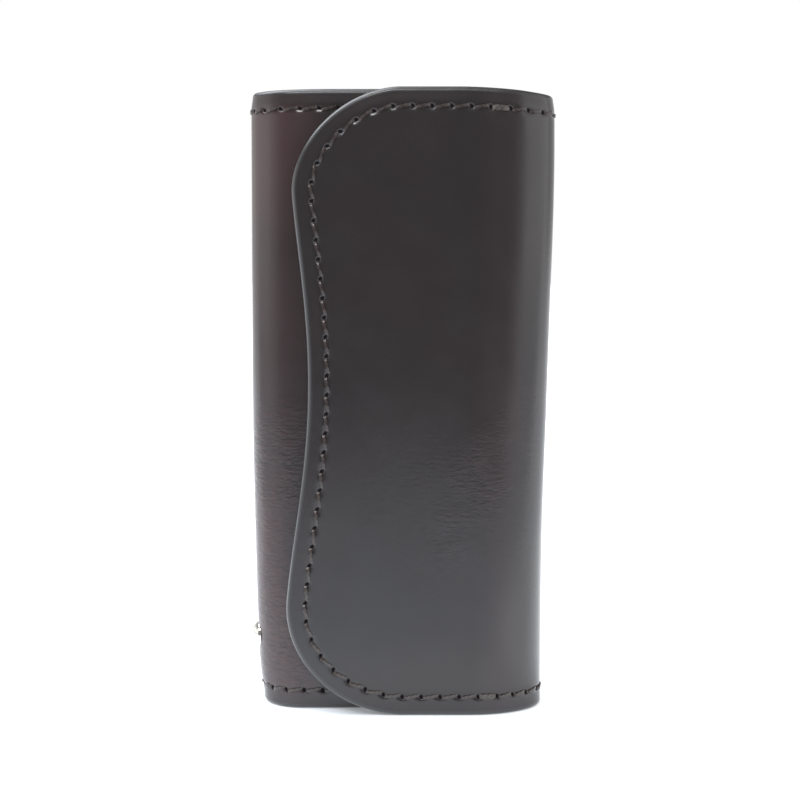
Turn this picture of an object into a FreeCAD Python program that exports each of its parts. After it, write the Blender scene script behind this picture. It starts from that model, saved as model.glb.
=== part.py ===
"""Key case: a folded leather wrap with a row of swivelling key hooks inside, closed by a press snap.

Millimetres. X points right, Y to the back, Z up. The case stands on its short end,
and the origin is the middle of that end. The flap closes over the front from the right.
"""
import FreeCAD, Part
import math
import os
import Sketcher

HOOK_COUNT = 6
# How far, as a share of the height, a leather blank runs past each end before it is trimmed.
BLANK_OVERRUN_SHARE = 0.02

SIZES = (
    ("case_height", 110.0, "height of the folded case"),
    ("width_base", 51.2, "width over the folds at the base"),
    ("width_top", 54.0, "width over the folds at the top"),
    ("depth_base", 16.0, "depth from flap to back at the base"),
    ("depth_top", 13.0, "depth from flap to back at the top"),
    ("outer_leather", 1.2, "thickness of the outer leather"),
    ("lining_leather", 0.8, "thickness of the lining"),
    ("flap_gap", 2.0, "room between flap and front panel, taken up by the snap"),
    ("fold_slit_angle", 0.5, "half of the slit between two leather pieces at a fold, degrees"),
    ("fold_turn_angle", 45.0, "how far the back reaches round the left fold, degrees"),
    ("overrun", 1.0, "how far cutting shapes reach past what they cut"),
    ("flap_top_reach", 18.7, "upper bulge of the flap edge, left of the middle"),
    ("flap_base_reach", 20.15, "lower bulge of the flap edge, left of the middle"),
    ("flap_top_radius", 18.8, "upper corner of the flap"),
    ("flap_base_radius", 19.3, "lower corner of the flap"),
    ("flap_waist_radius", 189.0, "hollow between the two bulges of the flap edge"),
    ("front_panel_edge", 7.0, "free edge of the front panel, right of the middle"),
    ("front_panel_corner", 4.0, "corners of the front panel's free edge"),
    ("rivet_height", 12.2, "height of both rivets above the base"),
    ("rivet_inset", 2.8, "back rivet, in from the right end of the hook plate"),
    ("rivet_cap_diameter", 5.0, "rivet cap"),
    ("rivet_cap_height", 2.0, "rivet cap, seat to crown"),
    ("rivet_cap_rim", 0.5, "straight rim of the rivet cap"),
    ("rivet_seat_depth", 0.5, "how deep a cap is pressed into the leather"),
    ("rivet_post_diameter", 2.2, "rivet post"),
    ("rivet_head_diameter", 3.0, "peened end of a rivet post"),
    ("rivet_head_height", 0.6, "peened end of a rivet post"),
    ("rivet_fit", 0.05, "radial room round caps and posts"),
    ("plate_thickness", 0.8, "sheet metal of the hook plate"),
    ("plate_bottom", 7.0, "lower edge of the hook plate above the base"),
    ("plate_height", 9.0, "height of the hook plate"),
    ("plate_end_room", 0.4, "right end of the hook plate before the start of the right fold"),
    ("plate_wrap_angle", 35.0, "how far the hook plate reaches round the left fold, degrees"),
    ("plate_fit", 0.15, "room between hook plate and the left fold"),
    ("ledge_thickness", 1.0, "ledge that carries the hooks"),
    ("ledge_margin", 2.4, "ledge past the outermost hook stems"),
    ("ledge_lip", 1.9, "ledge in front of the hook stems"),
    ("hook_left_room", 8.0, "first hook stem, in from the left side of the base"),
    ("hook_right_room", 9.2, "last hook stem, in from the right side of the base"),
    ("hook_gap", 0.8, "room between two hook loops"),
    ("hook_standoff", 3.45, "hook stems in front of the back lining"),
    ("hook_band", 1.5, "metal round the hook loop"),
    ("hook_thickness", 1.8, "hook, front to back"),
    ("hook_height", 23.0, "crown of the hook above the ledge"),
    ("hook_base_height", 5.0, "floor of the hook loop above the ledge"),
    ("hook_base_round", 1.2, "rounded shoulders of the hook base"),
    ("nose_length", 2.5, "straight part of the hook nose"),
    ("stem_diameter", 2.0, "stem that turns in the ledge"),
    ("stem_fit", 0.1, "radial room round a stem"),
    ("swivel_play", 0.1, "room above and below the ledge"),
    ("collar_diameter", 3.6, "collar of a hook above the ledge"),
    ("collar_height", 0.6, "collar of a hook above the ledge"),
    ("stem_head_diameter", 3.4, "head of a stem below the ledge"),
    ("stem_head_height", 0.7, "head of a stem below the ledge"),
    ("gate_thickness", 0.45, "gate leaf"),
    ("gate_width", 0.8, "gate leaf, front to back"),
    ("gate_eye_diameter", 1.6, "eye of the gate leaf"),
    ("gate_depth", 1.6, "gate pivot below the floor of the loop"),
    ("gate_overlap", 1.2, "gate leaf behind the hook nose"),
    ("gate_play", 0.05, "room round the gate leaf"),
    ("gate_pin_diameter", 0.8, "pin of the gate leaf"),
    ("gate_pin_fit", 0.02, "radial room round the gate pin"),
    ("snap_offset", 5.0, "snap, left of the middle"),
    ("snap_height", 58.0, "snap above the base"),
    ("snap_fit", 0.03, "room round the snap pieces"),
    ("snap_cap_diameter", 9.0, "flange of the cap hidden in the flap"),
    ("snap_cap_thickness", 0.4, "flange of the cap hidden in the flap"),
    ("snap_barrel_diameter", 2.6, "barrel of the cap through the lining"),
    ("snap_flare_diameter", 3.4, "rolled end of the cap's barrel"),
    ("snap_flare_height", 0.15, "rolled end of the cap's barrel"),
    ("socket_diameter", 9.6, "snap socket"),
    ("socket_height", 1.4, "snap socket"),
    ("socket_floor", 0.3, "metal at the floor of the socket"),
    ("socket_chamber_diameter", 5.4, "chamber for the ring spring"),
    ("socket_mouth_diameter", 4.8, "mouth of the socket"),
    ("socket_lip", 0.3, "metal round the mouth of the socket"),
    ("spring_wire", 0.5, "wire of the ring spring"),
    ("spring_gap_angle", 30.0, "opening of the ring spring, degrees"),
    ("stud_diameter", 9.0, "flange of the snap stud"),
    ("stud_flange", 0.4, "flange of the snap stud"),
    ("stud_height", 0.9, "stud above its flange"),
    ("stud_head_diameter", 3.6, "head of the stud"),
    ("stud_neck_diameter", 3.1, "neck of the stud"),
    ("stud_neck_height", 0.35, "neck of the stud"),
    ("stud_bore_diameter", 2.2, "hollow of the stud"),
    ("stud_bore_depth", 0.8, "hollow of the stud"),
    ("snap_post_diameter", 7.6, "flange of the post behind the stud"),
    ("snap_post_thickness", 0.35, "flange of the post behind the stud"),
)


class Size:
    """A length or angle held twice: its number now, and the text that binds it to the sheet."""

    def __init__(self, number, text):
        self.number = number
        self.text = text

    @staticmethod
    def of(value):
        return value if isinstance(value, Size) else Size(float(value), repr(value))

    def joined(self, other, sign, number):
        return Size(number, f"({self.text} {sign} {Size.of(other).text})")

    def __add__(self, other):
        return self.joined(other, "+", self.number + Size.of(other).number)

    def __sub__(self, other):
        return self.joined(other, "-", self.number - Size.of(other).number)

    def __mul__(self, other):
        return self.joined(other, "*", self.number * Size.of(other).number)

    def __truediv__(self, other):
        return self.joined(other, "/", self.number / Size.of(other).number)

    def __rsub__(self, other):
        return Size.of(other) - self

    def __neg__(self):
        return Size(-self.number, f"(-1 * {self.text})")


def root(value):
    return Size(math.sqrt(value.number), f"sqrt({value.text})")


def cosine(angle):
    return Size(math.cos(math.radians(angle.number)), f"cos({angle.text})")


def sine(angle):
    return Size(math.sin(math.radians(angle.number)), f"sin({angle.text})")


def arc_tangent(value):
    """Angle in degrees."""
    return Size(math.degrees(math.atan(value.number)), f"(atan({value.text}) / 1 deg)")


def write_sheet(doc):
    """Puts every driving dimension in a named cell and gives them back as sizes."""
    sheet = doc.addObject("Spreadsheet::Sheet", "Sizes")
    sizes = {}
    for row, (name, value, note) in enumerate(SIZES, 1):
        sheet.set(f"A{row}", note)
        sheet.set(f"B{row}", str(value))
        sheet.setAlias(f"B{row}", name)
        sizes[name] = Size(value, f"Sizes.{name}")
    doc.recompute()
    return sizes


doc = FreeCAD.newDocument("KeyCase")
SIZE = write_sheet(doc)
ZERO = Size(0.0, "0")


def size(name):
    return SIZE[name]


def half(name):
    return SIZE[name] / 2


def bind(obj, **properties):
    """Binds properties of an object, written with underscores for dots, to sizes."""
    for name, value in properties.items():
        obj.setExpression(name.replace("_", "."), value.text)


def place(obj, x, y, z, axis=None, angle=None):
    """Binds an object's position, and its turn about one axis, to sizes."""
    if axis:
        turn = FreeCAD.Rotation(FreeCAD.Vector(*axis), angle.number)
        obj.Placement = FreeCAD.Placement(FreeCAD.Vector(), turn)
        bind(obj, Placement_Rotation_Angle=angle)
    bind(obj, Placement_Base_x=x, Placement_Base_y=y, Placement_Base_z=z)


# Places that several pieces share

SHEET = size("outer_leather") + size("lining_leather")
LAYER = SHEET + size("flap_gap")
Y_BACK = (size("depth_base") - size("rivet_cap_height") + size("rivet_seat_depth")) / 2
PLATE_TOP = size("plate_bottom") + size("plate_height")
LEAN_ANGLE = arc_tangent((size("depth_base") - size("depth_top")) / size("case_height"))
PLATE_END = half("width_base") - half("depth_base") - size("plate_end_room")
FIRST_HOOK_X = size("hook_left_room") - half("width_base")
LAST_HOOK_X = half("width_base") - size("hook_right_room")
HOOK_PITCH = (LAST_HOOK_X - FIRST_HOOK_X) / (HOOK_COUNT - 1)
HOOK_SIDE = (HOOK_PITCH - size("hook_gap")) / 2
HOOK_AXIS_Y = Y_BACK - SHEET - size("hook_standoff")


class Level:
    """The folds of the case at one height, given as a share of the case's height."""

    def __init__(self, share):
        width = size("width_base") + (size("width_top") - size("width_base")) * share
        depth = size("depth_base") + (size("depth_top") - size("depth_base")) * share
        self.z = size("case_height") * share
        self.half_width = width / 2
        self.right_radius = depth / 2
        self.left_radius = (depth - LAYER) / 2
        self.right_x = self.half_width - self.right_radius
        self.right_y = Y_BACK - self.right_radius
        self.left_x = self.left_radius - self.half_width
        self.left_y = Y_BACK - self.left_radius

    def on_right(self, inset, angle):
        """A point of the right fold, inset from the outer surface, at an angle from +X."""
        radius = self.right_radius - inset
        return (self.right_x + radius * cosine(angle), self.right_y + radius * sine(angle))

    def on_left(self, inset, angle):
        """A point of the left fold, inset from the outer surface, at an angle from -X to -Y."""
        radius = self.left_radius - inset
        return (self.left_x - radius * cosine(angle), self.left_y - radius * sine(angle))


def at_height(z):
    return Level(z / size("case_height"))


# Sketches

class Corner:
    """A corner of an outline, with the edge that leaves it: a line, or an arc with its centre on one side.

    A fixed corner has sizes for its place. A smooth one is only a first guess, and the two edges
    that meet there are tangent. A fixed corner may be tangent too.
    """

    def __init__(self, x, y, radius=None, side="left", tangent=False, smooth=False):
        self.x = Size.of(x)
        self.y = Size.of(y)
        self.radius = radius
        self.side = side
        self.tangent = tangent or smooth
        self.smooth = smooth

    def vector(self):
        return FreeCAD.Vector(self.x.number, self.y.number, 0)


def edge_between(corner, following):
    """Geometry of one edge, and which of its ends is its start: 1 or 2."""
    start = corner.vector()
    end = following.vector()
    if corner.radius is None:
        return Part.LineSegment(start, end), 1
    chord = end - start
    across = FreeCAD.Vector(-chord.y, chord.x, 0).normalize()
    reach = math.sqrt(max(corner.radius.number ** 2 - chord.Length ** 2 / 4, 0))
    turn = 1 if corner.side == "left" else -1
    centre = (start + end) * 0.5 + across * (reach * turn)
    first, last = (start, end) if turn > 0 else (end, start)
    angles = [math.atan2(p.y - centre.y, p.x - centre.x) for p in (first, last)]
    if angles[1] < angles[0]:
        angles[1] += 2 * math.pi
    circle = Part.Circle(centre, FreeCAD.Vector(0, 0, 1), corner.radius.number)
    return Part.ArcOfCircle(circle, *angles), 1 if turn > 0 else 2


def fix_point(geometry, point, x, y):
    """Constraints that hold a point at sizes from the sketch's origin, with their expressions."""
    found = []
    for kind, value, axis in (("DistanceX", x, -2), ("DistanceY", y, -1)):
        if value.text == "0":
            found.append((Sketcher.Constraint("PointOnObject", geometry, point, axis), None))
        else:
            found.append((Sketcher.Constraint(kind, -1, 1, geometry, point, value.number), value))
    return found


def add_constraints(sketch, found):
    first = sketch.ConstraintCount
    sketch.addConstraint([constraint for constraint, value in found])
    for index, (constraint, value) in enumerate(found, first):
        if value is not None:
            sketch.setExpression(f"Constraints[{index}]", value.text)


def draw_outline(sketch, corners):
    """A closed outline through corners."""
    first = sketch.GeometryCount
    pairs = list(zip(corners, corners[1:] + corners[:1]))
    edges = [edge_between(*pair) for pair in pairs]
    sketch.addGeometry([edge for edge, start in edges], False)
    found = []
    for index, corner in enumerate(corners):
        start = edges[index][1]
        before_end = 3 - edges[index - 1][1]
        joint = "Tangent" if corner.tangent else "Coincident"
        before = first + (index - 1) % len(corners)
        found.append((Sketcher.Constraint(joint, before, before_end, first + index, start), None))
        if not corner.smooth:
            found += fix_point(first + index, start, corner.x, corner.y)
        if corner.radius is not None:
            found.append((Sketcher.Constraint("Radius", first + index, corner.radius.number), corner.radius))
    add_constraints(sketch, found)


def draw_circle(sketch, x, y, radius):
    index = sketch.GeometryCount
    centre = FreeCAD.Vector(x.number, y.number, 0)
    sketch.addGeometry(Part.Circle(centre, FreeCAD.Vector(0, 0, 1), radius.number), False)
    found = fix_point(index, 3, x, y)
    found.append((Sketcher.Constraint("Radius", index, radius.number), radius))
    add_constraints(sketch, found)


def free_sketch(name):
    return doc.addObject("Sketcher::SketchObject", name)


def upright_sketch(name):
    """A sketch in the XZ plane, seen from the front."""
    sketch = free_sketch(name)
    sketch.Placement.Rotation = FreeCAD.Rotation(FreeCAD.Vector(1, 0, 0), 90)
    return sketch


def body_sketch(body, role, name):
    """A sketch on one of a body's own origin planes."""
    sketch = body.newObject("Sketcher::SketchObject", name)
    plane = next(f for f in body.Origin.OriginFeatures if f.Role == role)
    sketch.AttachmentSupport = [(plane, "")]
    sketch.MapMode = "FlatFace"
    return sketch


def turned_body(label, corners):
    """A body turned about its Z axis from a half outline of radius and height."""
    body = doc.addObject("PartDesign::Body", label)
    sketch = body_sketch(body, "XZ_Plane", label + "_outline")
    draw_outline(sketch, corners)
    turn = body.newObject("PartDesign::Revolution", label + "_turn")
    turn.Profile = sketch
    turn.ReferenceAxis = (sketch, ["V_Axis"])
    turn.Angle = 360
    return body


def padded_body(label, role, draw, length):
    """A body whose sketch is thickened to both sides of its plane."""
    body = doc.addObject("PartDesign::Body", label)
    add_feature(body, "Pad", role, draw, length, symmetric=True)
    return body


def add_feature(body, kind, role, draw, length, symmetric, rise=None):
    """A pad or pocket of a body from a sketch that draw fills, raised along its plane's normal."""
    sketch = body_sketch(body, role, f"{body.Name}_{kind}_outline")
    draw(sketch)
    if rise is not None:
        bind(sketch, AttachmentOffset_Base_z=rise)
    feature = body.newObject("PartDesign::" + kind, f"{body.Name}_{kind}")
    feature.Profile = sketch
    feature.SideType = "Symmetric" if symmetric else "One side"
    bind(feature, Length=length)
    return feature


def cylinder(name, radius, start, length, seat):
    """A cutting cylinder along the Z axis of a seat, from start on."""
    tool = doc.addObject("Part::Cylinder", name)
    bind(tool, Radius=radius, Height=length)
    seat(tool, start)
    return tool


def cut(label, base, tools):
    """A base with one or more tools taken away, as one named piece."""
    tool = tools[0]
    if len(tools) > 1:
        tool = doc.addObject("Part::MultiFuse", label + "_tools")
        tool.Shapes = tools
    piece = doc.addObject("Part::Cut", label)
    piece.Base = base
    piece.Tool = tool
    return piece


# Leather

def back_section(level, inset, depth):
    """Back panel with its share of both folds, between two insets from the outer surface."""
    slit = size("fold_slit_angle")
    left_end = size("fold_turn_angle") - slit
    outer, inner = inset, inset + depth
    outer_left = level.left_radius - outer
    inner_left = level.left_radius - inner
    outer_right = level.right_radius - outer
    inner_right = level.right_radius - inner
    return [
        Corner(*level.on_left(outer, left_end), radius=outer_left, side="right"),
        Corner(level.left_x, Y_BACK - outer),
        Corner(level.right_x, Y_BACK - outer, radius=outer_right, side="right"),
        Corner(*level.on_right(outer, slit)),
        Corner(*level.on_right(inner, slit), radius=inner_right),
        Corner(level.right_x, Y_BACK - inner),
        Corner(level.left_x, Y_BACK - inner, radius=inner_left),
        Corner(*level.on_left(inner, left_end)),
    ]


def front_panel_section(level, inset, depth):
    """Front panel with its share of the left fold."""
    start = size("fold_turn_angle") + size("fold_slit_angle")
    end_x = size("front_panel_edge") + size("overrun")
    outer = level.left_radius - inset
    inner = outer - depth
    return [
        Corner(*level.on_left(inset, start), radius=outer),
        Corner(level.left_x, level.left_y - outer),
        Corner(end_x, level.left_y - outer),
        Corner(end_x, level.left_y - inner),
        Corner(level.left_x, level.left_y - inner, radius=inner, side="right"),
        Corner(*level.on_left(inset + depth, start)),
    ]


def flap_section(level, inset, depth):
    """Flap with its share of the right fold."""
    start = -size("fold_slit_angle")
    end_x = -(size("flap_base_reach") + size("flap_top_reach"))
    outer = level.right_radius - inset
    inner = outer - depth
    return [
        Corner(*level.on_right(inset, start), radius=outer, side="right"),
        Corner(level.right_x, level.right_y - outer),
        Corner(end_x, level.right_y - outer),
        Corner(end_x, level.right_y - inner),
        Corner(level.right_x, level.right_y - inner, radius=inner),
        Corner(*level.on_right(inset + depth, start)),
    ]


def leather_blank(name, section, inset, depth, overrun_share):
    """A leather layer ruled straight from its section at the base to its section at the top."""
    ends = []
    for end, share in (("base", -overrun_share), ("top", 1 + overrun_share)):
        level = Level(share)
        sketch = free_sketch(f"{name}_{end}")
        draw_outline(sketch, section(level, inset, depth))
        bind(sketch, Placement_Base_z=level.z)
        ends.append(sketch)
    blank = doc.addObject("Part::Loft", name + "_blank")
    blank.Sections = ends
    blank.Solid = True
    blank.Ruled = True
    return blank


def flap_outline(sketch):
    """The flap seen from the front: two round corners joined by a shallow hollow, square at the fold."""
    far = half("width_top") + size("overrun")
    height = size("case_height")
    top_radius = size("flap_top_radius")
    base_radius = size("flap_base_radius")
    waist_radius = size("flap_waist_radius")
    top_x = top_radius - size("flap_top_reach")
    base_x = base_radius - size("flap_base_reach")
    top_centre = FreeCAD.Vector(top_x.number, (height - top_radius).number, 0)
    base_centre = FreeCAD.Vector(base_x.number, base_radius.number, 0)
    between = top_centre - base_centre
    from_base = base_radius.number + waist_radius.number
    from_top = top_radius.number + waist_radius.number
    along = (from_base ** 2 - from_top ** 2 + between.Length ** 2) / (2 * between.Length)
    away = math.sqrt(from_base ** 2 - along ** 2)
    up = FreeCAD.Vector(between).normalize()
    waist_centre = base_centre + up * along + FreeCAD.Vector(-up.y, up.x, 0) * away
    top_joint = top_centre + (waist_centre - top_centre) * (top_radius.number / from_top)
    base_joint = base_centre + (waist_centre - base_centre) * (base_radius.number / from_base)
    draw_outline(sketch, [
        Corner(base_x, ZERO, radius=base_radius, side="right", tangent=True),
        Corner(base_joint.x, base_joint.y, radius=waist_radius, smooth=True),
        Corner(top_joint.x, top_joint.y, radius=top_radius, side="right", smooth=True),
        Corner(top_x, height, tangent=True),
        Corner(far, height),
        Corner(far, ZERO),
    ])


def front_panel_outline(sketch):
    """The front panel seen from the front, with round corners at its free edge."""
    far = -(half("width_top") + size("overrun"))
    height = size("case_height")
    edge = size("front_panel_edge")
    corner = size("front_panel_corner")
    draw_outline(sketch, [
        Corner(far, ZERO),
        Corner(edge - corner, ZERO, radius=corner),
        Corner(edge, corner),
        Corner(edge, height - corner, radius=corner),
        Corner(edge - corner, height),
        Corner(far, height),
    ])


def trimmed_leather(name, section, outline, inset, depth):
    """A leather blank trimmed to its outline."""
    blank = leather_blank(name, section, inset, depth, BLANK_OVERRUN_SHARE)
    sketch = upright_sketch(name + "_outline")
    outline(sketch)
    cutter = doc.addObject("Part::Extrusion", name + "_cutter")
    cutter.Base = sketch
    cutter.DirMode = "Normal"
    cutter.Solid = True
    cutter.Symmetric = True
    bind(cutter, LengthFwd=(size("depth_base") + size("overrun")) * 2)
    trimmed = doc.addObject("Part::Common", name + "_trimmed")
    trimmed.Base = blank
    trimmed.Tool = cutter
    return trimmed


OUTER = (ZERO, size("outer_leather"))
LINING = (size("outer_leather"), size("lining_leather"))


def make_back():
    """Outer leather with rivet seats and holes, and the lining with rivet holes."""
    seat_radius = half("rivet_cap_diameter") + size("rivet_fit")
    hole_radius = half("rivet_post_diameter") + size("rivet_fit")
    depth = SHEET + size("overrun")
    outer_tools = []
    lining_tools = []
    for name, seat in (("side", side_rivet_seat), ("back", back_rivet_seat)):
        outer_tools.append(cylinder(f"{name}_seat", seat_radius, ZERO, depth, seat))
        outer_tools.append(cylinder(f"{name}_outer_hole", hole_radius, -depth, depth * 2, seat))
        lining_tools.append(cylinder(f"{name}_lining_hole", hole_radius, -depth, depth * 2, seat))
    outer = leather_blank("back_outer", back_section, *OUTER, 0)
    lining = leather_blank("back_lining", back_section, *LINING, 0)
    return [cut("back_outer", outer, outer_tools), cut("back_lining", lining, lining_tools)]


def make_flap():
    """Outer leather, and a lining with a recess and a hole for the hidden snap cap."""
    outer = trimmed_leather("flap_outer", flap_section, flap_outline, *OUTER)
    outer.Label = "flap_outer"
    lining = trimmed_leather("flap_lining", flap_section, flap_outline, *LINING)
    recess = size("snap_cap_thickness") + size("snap_fit") * 2
    recess_start = size("flap_gap") + size("lining_leather") - recess
    flange_radius = half("snap_cap_diameter") + size("snap_fit")
    barrel_radius = half("snap_barrel_diameter") + size("snap_fit")
    tools = [
        cylinder("cap_recess", flange_radius, recess_start, recess + size("snap_fit"), snap_seat),
        cylinder("cap_hole", barrel_radius, size("flap_gap") - size("overrun"), LAYER, snap_seat),
    ]
    return [outer, cut("flap_lining", lining, tools)]


def make_front_panel():
    """Outer leather with a hole for the snap post, and a lining with a recess for its flange."""
    outer = trimmed_leather("front_panel_outer", front_panel_section, front_panel_outline, *OUTER)
    lining = trimmed_leather("front_panel_lining", front_panel_section, front_panel_outline, *LINING)
    hole_radius = half("stud_bore_diameter") + size("snap_fit")
    flange_radius = half("snap_post_diameter") + size("snap_fit")
    recess = size("snap_post_thickness") + size("snap_fit") * 2
    depth = size("outer_leather") + recess
    hole = cylinder("post_hole", hole_radius, -SHEET, SHEET * 2, snap_seat)
    pocket = cylinder("post_recess", flange_radius, -depth, recess + size("snap_fit"), snap_seat)
    return [cut("front_panel_outer", outer, [hole]), cut("front_panel_lining", lining, [pocket])]


# Rivets and hook plate

RIVET_LEVEL = at_height(size("rivet_height"))
PLATE_LEVEL = at_height(size("plate_bottom"))
PLATE_RADIUS = PLATE_LEVEL.left_radius - SHEET - size("plate_fit")
PLATE_INNER_RADIUS = PLATE_RADIUS - size("plate_thickness")
PLATE_SIDE_X = SHEET + size("plate_fit") - PLATE_LEVEL.half_width
PLATE_BEND_X = PLATE_SIDE_X + PLATE_RADIUS
PLATE_BEND_Y = Y_BACK - SHEET - PLATE_RADIUS


def side_rivet_seat(obj, along):
    """Places an object's Z axis along the rivet through the left fold, pointing out."""
    x = size("rivet_seat_depth") - RIVET_LEVEL.half_width - along
    place(obj, x, RIVET_LEVEL.left_y, size("rivet_height"), (0, 1, 0), Size(-90, "-90"))


def back_rivet_seat(obj, along):
    """Places an object's Z axis along the rivet through the back, pointing out."""
    y = Y_BACK - size("rivet_seat_depth") + along
    place(obj, PLATE_END - size("rivet_inset"), y, size("rivet_height"), (1, 0, 0), Size(-90, "-90"))


def rivet_cap(name, seat):
    """A low dome with a short straight rim."""
    radius = half("rivet_cap_diameter")
    rim = size("rivet_cap_rim")
    crown = size("rivet_cap_height") - rim
    dome = (radius * radius + crown * crown) / (crown * 2)
    cap = turned_body(name, [
        Corner(ZERO, ZERO),
        Corner(radius, ZERO),
        Corner(radius, rim, radius=dome),
        Corner(ZERO, size("rivet_cap_height")),
    ])
    seat(cap, ZERO)
    return cap


def rivet_post(name, seat, grip):
    """A straight post under the cap with a peened end past the hook plate."""
    shank = half("rivet_post_diameter")
    head = half("rivet_head_diameter")
    end = grip + size("rivet_head_height")
    post = turned_body(name, [
        Corner(ZERO, -end),
        Corner(head, -end),
        Corner(head, -grip),
        Corner(shank, -grip),
        Corner(shank, ZERO),
        Corner(ZERO, ZERO),
    ])
    seat(post, ZERO)
    return post


def make_rivets():
    """Two caps and two posts. The head inside the fold stands off by the rise of the bend."""
    reach = half("rivet_head_diameter") + PLATE_BEND_Y - RIVET_LEVEL.left_y
    bend_rise = PLATE_INNER_RADIUS - root(PLATE_INNER_RADIUS * PLATE_INNER_RADIUS - reach * reach)
    side_face = PLATE_SIDE_X + size("plate_thickness") + bend_rise
    side_grip = side_face + RIVET_LEVEL.half_width - size("rivet_seat_depth")
    back_grip = SHEET - size("rivet_seat_depth") + size("plate_thickness")
    groups = {
        "rivet_caps": [rivet_cap("side_cap", side_rivet_seat), rivet_cap("back_cap", back_rivet_seat)],
        "rivet_posts": [
            rivet_post("side_post", side_rivet_seat, side_grip),
            rivet_post("back_post", back_rivet_seat, back_grip),
        ],
    }
    pieces = []
    for label, members in groups.items():
        group = doc.addObject("Part::Compound", label)
        group.Links = members
        pieces.append(group)
    return pieces


def hook_x(index):
    return FIRST_HOOK_X + HOOK_PITCH * index


def make_hook_plate():
    """A strip bent round the inside of the left fold, with a ledge bent forward at its upper edge."""
    thickness = size("plate_thickness")
    face = Y_BACK - SHEET
    wrap = size("plate_wrap_angle")

    def on_bend(radius):
        return PLATE_BEND_X - radius * cosine(wrap), PLATE_BEND_Y - radius * sine(wrap)

    def strip(sketch):
        draw_outline(sketch, [
            Corner(PLATE_END, face),
            Corner(PLATE_BEND_X, face, radius=PLATE_RADIUS),
            Corner(*on_bend(PLATE_RADIUS)),
            Corner(*on_bend(PLATE_INNER_RADIUS), radius=PLATE_INNER_RADIUS, side="right"),
            Corner(PLATE_BEND_X, face - thickness),
            Corner(PLATE_END, face - thickness),
        ])

    def ledge(sketch):
        left = hook_x(0) - size("ledge_margin")
        right = hook_x(HOOK_COUNT - 1) + size("ledge_margin")
        front = HOOK_AXIS_Y - size("ledge_lip")
        round_corner = size("ledge_lip") / 2
        rear = face - thickness / 2
        draw_outline(sketch, [
            Corner(left, rear),
            Corner(left, front + round_corner, radius=round_corner),
            Corner(left + round_corner, front),
            Corner(right - round_corner, front, radius=round_corner),
            Corner(right, front + round_corner),
            Corner(right, rear),
        ])
        for index in range(HOOK_COUNT):
            draw_circle(sketch, hook_x(index), HOOK_AXIS_Y, half("stem_diameter") + size("stem_fit"))

    body = doc.addObject("PartDesign::Body", "plate_blank")
    ledge_bottom = PLATE_TOP - size("ledge_thickness")
    add_feature(body, "Pad", "XY_Plane", strip, size("plate_height"), False, size("plate_bottom"))
    add_feature(body, "Pad", "XY_Plane", ledge, size("ledge_thickness"), False, ledge_bottom)
    hole = half("rivet_post_diameter") + size("rivet_fit")
    depth = LAYER + size("overrun")
    tools = [
        cylinder("side_plate_hole", hole, -depth, depth, side_rivet_seat),
        cylinder("back_plate_hole", hole, -depth, depth, back_rivet_seat),
    ]
    return [cut("hook_plate", body, tools)]


# Hooks

GATE_X = HOOK_SIDE - size("hook_band") - size("gate_play") - half("gate_thickness")
GATE_Z = size("hook_base_height") - size("gate_depth")
COLLAR_TOP = size("swivel_play") + size("collar_height")
NOSE_CENTRE_Z = size("hook_height") - HOOK_SIDE - size("nose_length") + half("hook_band")


def hook_outline(sketch):
    """An open loop on a round-shouldered base, with a nose on the right and the gate pin's hole."""
    side = HOOK_SIDE
    inside = side - size("hook_band")
    nose = half("hook_band")
    collar = half("collar_diameter")
    shoulder = side - collar
    lug = size("hook_base_round")
    crown = size("hook_height") - side
    floor = size("hook_base_height")
    draw_outline(sketch, [
        Corner(-collar, COLLAR_TOP, radius=shoulder, side="right"),
        Corner(-side, COLLAR_TOP + shoulder),
        Corner(-side, crown, radius=side, side="right"),
        Corner(ZERO, size("hook_height"), radius=side, side="right"),
        Corner(side, crown),
        Corner(side, NOSE_CENTRE_Z, radius=nose, side="right"),
        Corner(side - nose, NOSE_CENTRE_Z - nose, radius=nose, side="right"),
        Corner(inside, NOSE_CENTRE_Z),
        Corner(inside, crown, radius=inside),
        Corner(ZERO, crown + inside, radius=inside),
        Corner(-inside, crown),
        Corner(-inside, floor),
        Corner(side - lug, floor, radius=lug, side="right"),
        Corner(side, floor - lug),
        Corner(side, COLLAR_TOP + shoulder, radius=shoulder, side="right"),
        Corner(collar, COLLAR_TOP),
    ])
    draw_circle(sketch, GATE_X, GATE_Z, half("gate_pin_diameter") + size("gate_pin_fit"))


def gate_slot(sketch):
    """Room in the hook's base for the eye of the gate leaf."""
    reach = half("gate_eye_diameter") + size("gate_play")
    top = size("hook_base_height") + size("overrun")
    draw_outline(sketch, [
        Corner(GATE_X - reach, GATE_Z - reach),
        Corner(GATE_X + reach, GATE_Z - reach),
        Corner(GATE_X + reach, top),
        Corner(GATE_X - reach, top),
    ])


def stem_outline(sketch):
    """Half outline of the stem: head below the ledge, shank through it and collar above it."""
    under = -(size("ledge_thickness") + size("swivel_play"))
    bottom = under - size("stem_head_height")
    shank = half("stem_diameter")
    head = half("stem_head_diameter")
    collar = half("collar_diameter")
    inside = COLLAR_TOP + size("collar_height")
    draw_outline(sketch, [
        Corner(ZERO, bottom),
        Corner(head, bottom),
        Corner(head, under),
        Corner(shank, under),
        Corner(shank, size("swivel_play")),
        Corner(collar, size("swivel_play")),
        Corner(collar, COLLAR_TOP),
        Corner(shank, COLLAR_TOP),
        Corner(shank, inside),
        Corner(ZERO, inside),
    ])


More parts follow.
